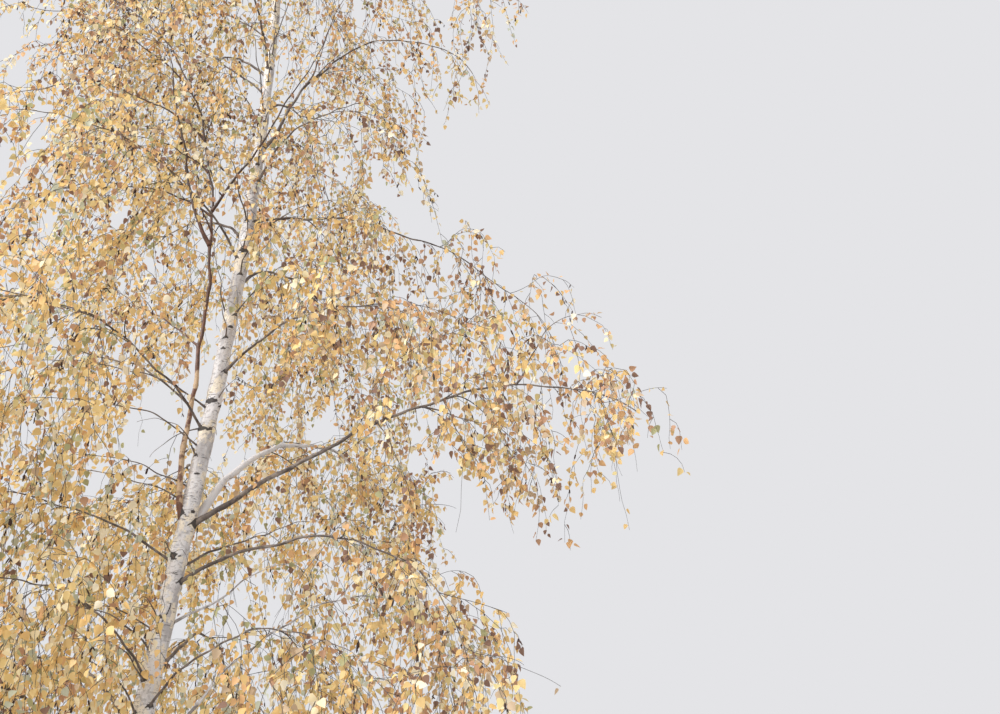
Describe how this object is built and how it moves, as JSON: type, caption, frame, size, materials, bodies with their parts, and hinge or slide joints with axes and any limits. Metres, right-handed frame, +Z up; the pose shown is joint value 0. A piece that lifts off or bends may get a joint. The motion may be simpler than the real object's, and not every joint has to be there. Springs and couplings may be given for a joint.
{
  "type": "weeping white birch tree",
  "caption": "Slender white-barked birch in golden autumn leaf, with a leaning trunk, a thin second stem, arching boughs and hanging twigs.",
  "frame": {"origin": "middle of the flat cut under the trunk, at ground level", "axes": "+Z up; +X towards the side of the longest low bough, to the right in the picture; +Y away from the picture's camera"},
  "size_m": [7.2617, 5.6512, 11.8318],
  "materials": {
    "bark_white": "matt, peeling in thin papery layers",
    "bark_brown": "smooth young bark with golden peeling patches",
    "bark_dark": "matt dark grey-brown twig bark",
    "foliage": "soft matt leaves, gold to olive and brown"
  },
  "bodies": {
    "root": {"bough_back_left": "bark_dark", "bough_back_right": "bark_dark", "bough_crest_back": "bark_dark", "bough_crest_front": "bark_dark", "bough_crest_left": "bark_dark", "bough_crest_right": "bark_dark", "bough_front_left": "bark_dark", "bough_front_right": "bark_dark", "bough_high_back": "bark_dark", "bough_high_front": "bark_dark", "bough_high_left_back": "bark_dark", "bough_high_right": "bark_dark", "bough_left": "bark_dark", "bough_left_upper": "bark_dark", "bough_low_back": "bark_dark", "bough_low_back_right": "bark_dark", "bough_low_front_left": "bark_dark", "bough_low_front_right": "bark_dark", "bough_low_left": "bark_dark", "bough_low_left_back": "bark_dark", "bough_low_right": "bark_dark", "bough_right_arching": "bark_dark", "bough_right_long": "bark_dark", "bough_upper_back": "bark_dark", "bough_upper_front_left": "bark_dark", "bough_upper_front_right": "bark_dark", "bough_upper_left_back": "bark_dark", "foliage_back_left": "foliage", "foliage_back_right": "foliage", "foliage_crest_back": "foliage", "foliage_crest_front": "foliage", "foliage_crest_left": "foliage", "foliage_crest_right": "foliage", "foliage_front_left": "foliage", "foliage_front_right": "foliage", "foliage_high_back": "foliage", "foliage_high_front": "foliage", "foliage_high_left_back": "foliage", "foliage_high_right": "foliage", "foliage_left": "foliage", "foliage_left_upper": "foliage", "foliage_low_back": "foliage", "foliage_low_back_right": "foliage", "foliage_low_front_left": "foliage", "foliage_low_front_right": "foliage", "foliage_low_left": "foliage", "foliage_low_left_back": "foliage", "foliage_low_right": "foliage", "foliage_right_arching": "foliage", "foliage_right_long": "foliage", "foliage_second_stem": "foliage", "foliage_top": "foliage", "foliage_upper_back": "foliage", "foliage_upper_front_left": "foliage", "foliage_upper_front_right": "foliage", "foliage_upper_left_back": "foliage", "second_stem": "bark_brown", "trunk": "bark_white"}
  },
  "joints": []
}
